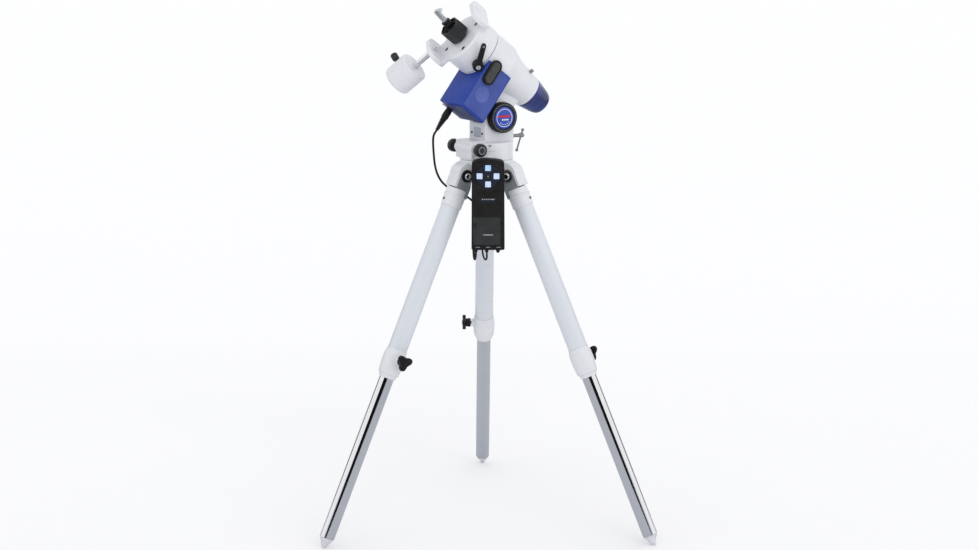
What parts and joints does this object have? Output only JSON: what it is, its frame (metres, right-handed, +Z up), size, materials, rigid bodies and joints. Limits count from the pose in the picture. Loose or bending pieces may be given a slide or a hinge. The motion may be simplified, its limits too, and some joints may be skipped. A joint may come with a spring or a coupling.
{
  "type": "equatorial mount",
  "caption": "Portable motor-driven equatorial mount: polar head with forked top and counterweight on a folding tripod with telescoping legs, with a wired hand controller.",
  "frame": {"origin": "on the floor, at the centre of the ground that the three feet cover", "axes": "+Z up; -Y is the front, which the hand controller faces; the polar axis points up to the front left at 37 degrees"},
  "size_m": [0.7342, 0.65, 1.1686],
  "materials": {
    "white_enamel": "gloss white enamel over cast or drawn aluminium",
    "white_iron": "gloss white paint over cast iron",
    "cast_fitting": "satin silver-grey paint on cast aluminium",
    "chrome_tube": "polished",
    "foot": "matte",
    "bright_steel": "polished",
    "plain_steel": "satin",
    "brass_wheel": "satin",
    "black_plastic": "satin",
    "blue_cover": "satin",
    "blue_badge": "gloss",
    "blue_cap": "gloss",
    "controller_black": "matte",
    "button_blue": "satin",
    "grey_window": "matte",
    "cable_black": "matte"
  },
  "bodies": {
    "tripod_hub": {"tripod_head": "white_enamel", "azimuth_pin": "plain_steel", "leg_pivot_bolt_left": "bright_steel", "leg_pivot_bolt_right": "bright_steel", "leg_pivot_bolt_rear": "bright_steel"},
    "hub_screw": {"centre_bolt": "black_plastic"},
    "leg_left": {"leg_fitting_left": "cast_fitting", "upper_tube_left": "white_enamel", "leg_collar_left": "white_enamel"},
    "leg_slider_left": {"lower_tube_left": "chrome_tube", "foot_tip_left": "foot"},
    "leg_knob_left": {"leg_clamp_knob_left": "black_plastic"},
    "leg_right": {"leg_fitting_right": "cast_fitting", "upper_tube_right": "white_enamel", "leg_collar_right": "white_enamel"},
    "leg_slider_right": {"lower_tube_right": "chrome_tube", "foot_tip_right": "foot"},
    "leg_knob_right": {"leg_clamp_knob_right": "black_plastic"},
    "leg_rear": {"leg_fitting_rear": "cast_fitting", "upper_tube_rear": "white_enamel", "leg_collar_rear": "white_enamel"},
    "leg_slider_rear": {"lower_tube_rear": "chrome_tube", "foot_tip_rear": "foot"},
    "leg_knob_rear": {"leg_clamp_knob_rear": "black_plastic"},
    "head_base": {"azimuth_base": "white_enamel", "column_window": "grey_window", "controller_case": "controller_black", "control_cable": "cable_black", "battery_lead": "cable_black"},
    "azimuth_screw_front": {"azimuth_knob_front": "black_plastic"},
    "azimuth_screw_rear": {"azimuth_knob_rear": "black_plastic"},
    "altitude_screw": {"altitude_bolt": "bright_steel"},
    "polar_body": {"ra_housing": "white_enamel", "motor_cover": "blue_cover", "ra_motor": "plain_steel", "altitude_axle": "plain_steel", "latitude_ring": "black_plastic", "latitude_badge": "blue_badge", "cable_plug": "cable_black"},
    "worm_drive": {"worm": "plain_steel"},
    "worm_gear": {"worm_wheel": "brass_wheel"},
    "worm_cap": {"knob_cover": "black_plastic"},
    "polar_telescope": {"polar_scope": "black_plastic"},
    "telescope_screw": {"scope_screw": "bright_steel"},
    "eyepiece_cap": {"polar_cap": "blue_cap"},
    "turning_head": {"ra_head": "white_enamel", "polar_shaft": "plain_steel", "counterweight_shaft": "bright_steel"},
    "head_lever": {"clamp_lever": "black_plastic"},
    "stem_knob": {"head_knob": "black_plastic"},
    "tilting_stem": {"head_collar": "black_plastic", "head_stem": "bright_steel"},
    "balance_weight": {"counterweight": "white_iron"},
    "weight_screw": {"counterweight_screw": "black_plastic"},
    "battery_door": {"battery_cover": "controller_black"},
    "power_button": {"power_switch": "black_plastic"},
    "button_up": {"control_button_up": "button_blue"},
    "button_down": {"control_button_down": "button_blue"},
    "button_left": {"control_button_left": "button_blue"},
    "button_right": {"control_button_right": "button_blue"}
  },
  "joints": [
    {"name": "hub_screw_turn", "type": "hinge", "parent": "tripod_hub", "child": "hub_screw", "pos_m": [-0.00556, -0.0992, 0.76], "axis": [0, 0, 1], "range_deg": [-360, 360]},
    {"name": "leg_fold_left", "type": "hinge", "parent": "tripod_hub", "child": "leg_left", "pos_m": [-0.0584, -0.13162, 0.79], "axis": [0.5229, -0.8524, 0], "range_deg": [0, 24]},
    {"name": "leg_extend_left", "type": "slide", "parent": "leg_left", "child": "leg_slider_left", "axis": [-0.3487, -0.2139, -0.9125], "range_m": [-0.3, 0.028]},
    {"name": "leg_clamp_left", "type": "hinge", "parent": "leg_left", "child": "leg_knob_left", "pos_m": [-0.2073, -0.22298, 0.40037], "axis": [0.5229, -0.8524, 0], "range_deg": [-360, 0]},
    {"name": "leg_fold_right", "type": "hinge", "parent": "tripod_hub", "child": "leg_right", "pos_m": [0.04895, -0.12876, 0.79], "axis": [0.4767, 0.8791, 0], "range_deg": [0, 24]},
    {"name": "leg_extend_right", "type": "slide", "parent": "leg_right", "child": "leg_slider_right", "axis": [0.3596, -0.195, -0.9125], "range_m": [-0.3, 0.028]},
    {"name": "leg_clamp_right", "type": "hinge", "parent": "leg_right", "child": "leg_knob_right", "pos_m": [0.20251, -0.21203, 0.40037], "axis": [0.4767, 0.8791, 0], "range_deg": [-360, 0]},
    {"name": "leg_fold_rear", "type": "hinge", "parent": "tripod_hub", "child": "leg_rear", "pos_m": [-0.00721, -0.03722, 0.79], "axis": [-0.9996, -0.0267, 0], "range_deg": [0, 24]},
    {"name": "leg_extend_rear", "type": "slide", "parent": "leg_rear", "child": "leg_slider_rear", "axis": [-0.0109, 0.409, -0.9125], "range_m": [-0.3, 0.028]},
    {"name": "leg_clamp_rear", "type": "hinge", "parent": "leg_rear", "child": "leg_knob_rear", "pos_m": [-0.01188, 0.13741, 0.40037], "axis": [-0.9996, -0.0267, 0], "range_deg": [-360, 0]},
    {"name": "azimuth_turn", "type": "hinge", "parent": "tripod_hub", "child": "head_base", "pos_m": [-0.00556, -0.0992, 0.824], "axis": [0, 0, 1], "range_deg": [-5, 5]},
    {"name": "azimuth_screw_front_travel", "type": "slide", "parent": "head_base", "child": "azimuth_screw_front", "axis": [0.5225, -0.8526, 0], "range_m": [-0.0045, 0.0045]},
    {"name": "azimuth_screw_rear_travel", "type": "slide", "parent": "head_base", "child": "azimuth_screw_rear", "axis": [0.5225, -0.8526, 0], "range_m": [-0.0045, 0.0045]},
    {"name": "altitude_tilt", "type": "hinge", "parent": "head_base", "child": "polar_body", "pos_m": [0.00468, -0.09293, 0.917], "axis": [-0.5225, 0.8526, 0], "range_deg": [-15, 17], "deforming": ["control_cable"]},
    {"name": "altitude_screw_travel", "type": "slide", "parent": "head_base", "child": "altitude_screw", "axis": [-0.8526, -0.5225, 0], "range_m": [-0.0127, 0.0144]},
    {"name": "worm_turn", "type": "hinge", "parent": "polar_body", "child": "worm_drive", "pos_m": [-0.02467, -0.11091, 0.99928], "axis": [0.5225, -0.8526, 0], "continuous": true},
    {"name": "worm_gear_turn", "type": "hinge", "parent": "polar_body", "child": "worm_gear", "pos_m": [0.00048, -0.0955, 1.03841], "axis": [-0.6809, -0.4173, 0.6018], "continuous": true},
    {"name": "worm_cap_pull", "type": "slide", "parent": "polar_body", "child": "worm_cap", "axis": [0.5225, -0.8526, 0], "range_m": [0, 0.012]},
    {"name": "polar_scope_turn", "type": "hinge", "parent": "polar_body", "child": "polar_telescope", "pos_m": [0.06176, -0.05795, 0.98425], "axis": [-0.6809, -0.4173, 0.6018], "continuous": true},
    {"name": "scope_screw_turn", "type": "hinge", "parent": "polar_body", "child": "telescope_screw", "pos_m": [0.06108, -0.05837, 0.98485], "axis": [0.7268, -0.2847, 0.625], "range_deg": [-360, 0]},
    {"name": "eyepiece_cap_pull", "type": "slide", "parent": "polar_body", "child": "eyepiece_cap", "axis": [0.6809, 0.4173, -0.6018], "range_m": [0, 0.05]},
    {"name": "head_turn", "type": "hinge", "parent": "polar_body", "child": "turning_head", "pos_m": [-0.06353, -0.13473, 1.09498], "axis": [-0.6809, -0.4173, 0.6018], "continuous": true},
    {"name": "head_lever_turn", "type": "hinge", "parent": "turning_head", "child": "head_lever", "pos_m": [-0.02369, -0.17063, 1.03375], "axis": [0.0996, -0.8669, -0.4884], "range_deg": [-20, 60]},
    {"name": "stem_knob_turn", "type": "hinge", "parent": "turning_head", "child": "stem_knob", "pos_m": [-0.07375, -0.14099, 1.10401], "axis": [-0.6809, -0.4173, 0.6018], "range_deg": [-360, 0]},
    {"name": "stem_tilt", "type": "hinge", "parent": "turning_head", "child": "tilting_stem", "pos_m": [-0.07715, -0.14308, 1.10702], "axis": [-0.5225, 0.8526, 0], "range_deg": [-20, 5]},
    {"name": "weight_slide", "type": "slide", "parent": "turning_head", "child": "balance_weight", "axis": [-0.7255, 0.2726, -0.6319], "range_m": [-0.04, 0.026]},
    {"name": "weight_screw_turn", "type": "hinge", "parent": "balance_weight", "child": "weight_screw", "pos_m": [-0.18262, -0.09941, 1.00799], "axis": [-0.4894, 0.4412, 0.7522], "range_deg": [-360, 0]},
    {"name": "battery_door_lift", "type": "slide", "parent": "head_base", "child": "battery_door", "axis": [0, -1, 0], "range_m": [0, 0.012]},
    {"name": "power_button_press", "type": "slide", "parent": "head_base", "child": "power_button", "axis": [0, 0, 1], "range_m": [0, 0.0015], "stiffness_N_per_m": 300},
    {"name": "button_up_press", "type": "slide", "parent": "head_base", "child": "button_up", "axis": [0, 1, 0], "range_m": [0, 0.0012], "stiffness_N_per_m": 400},
    {"name": "button_down_press", "type": "slide", "parent": "head_base", "child": "button_down", "axis": [0, 1, 0], "range_m": [0, 0.0012], "stiffness_N_per_m": 400},
    {"name": "button_left_press", "type": "slide", "parent": "head_base", "child": "button_left", "axis": [0, 1, 0], "range_m": [0, 0.0012], "stiffness_N_per_m": 400},
    {"name": "button_right_press", "type": "slide", "parent": "head_base", "child": "button_right", "axis": [0, 1, 0], "range_m": [0, 0.0012], "stiffness_N_per_m": 400}
  ],
  "couplings": [
    {"joint": "azimuth_screw_front_travel", "follows": "azimuth_turn", "m_per_rad": -0.05},
    {"joint": "azimuth_screw_rear_travel", "follows": "azimuth_turn", "m_per_rad": -0.05},
    {"joint": "altitude_screw_travel", "follows": "altitude_tilt", "m_per_rad": 0.048},
    {"joint": "worm_gear_turn", "follows": "worm_turn", "ratio": 0.0069444}
  ]
}
